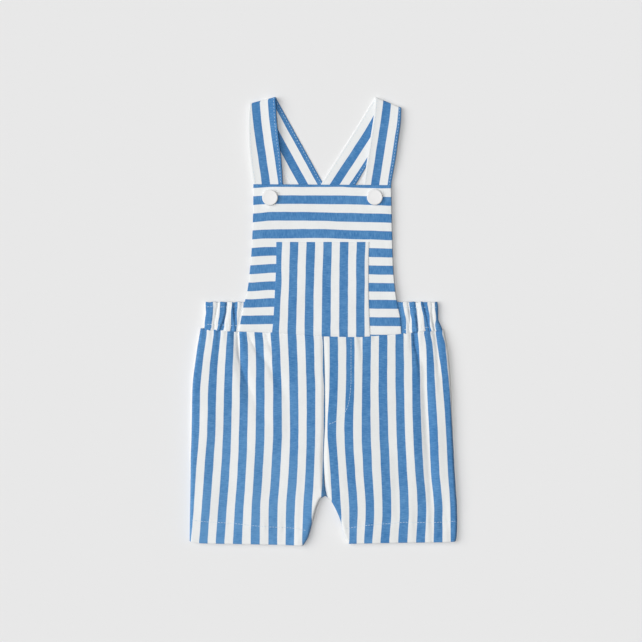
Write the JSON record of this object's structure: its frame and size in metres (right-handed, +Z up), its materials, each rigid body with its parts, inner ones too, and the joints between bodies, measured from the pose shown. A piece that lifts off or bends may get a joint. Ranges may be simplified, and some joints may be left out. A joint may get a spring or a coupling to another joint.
{
  "type": "dungarees",
  "caption": "Striped short-legged baby dungarees laid flat, with a flared bib, patch pocket, gathered waistband and buttoned straps that cross behind.",
  "frame": {"origin": "centre of the bounding box, at the surface that the garment lies on", "axes": "+X to the right seen from above, +Y from the leg hems to the shoulder straps, +Z up out of the front of the garment"},
  "size_m": [0.2539, 0.4267, 0.0084],
  "materials": {
    "striped_cotton": "matt plain weave, blue and white yarn-dyed stripes",
    "button_plastic": "matt"
  },
  "bodies": {
    "root": {"bib_front": "striped_cotton", "bib_pocket": "striped_cotton", "leg_front_left": "striped_cotton", "leg_front_right": "striped_cotton", "leg_back_left": "striped_cotton", "leg_back_right": "striped_cotton", "waistband_elastic": "striped_cotton", "strap_left": "striped_cotton", "strap_right": "striped_cotton", "button_left": "button_plastic", "button_right": "button_plastic"}
  },
  "joints": []
}
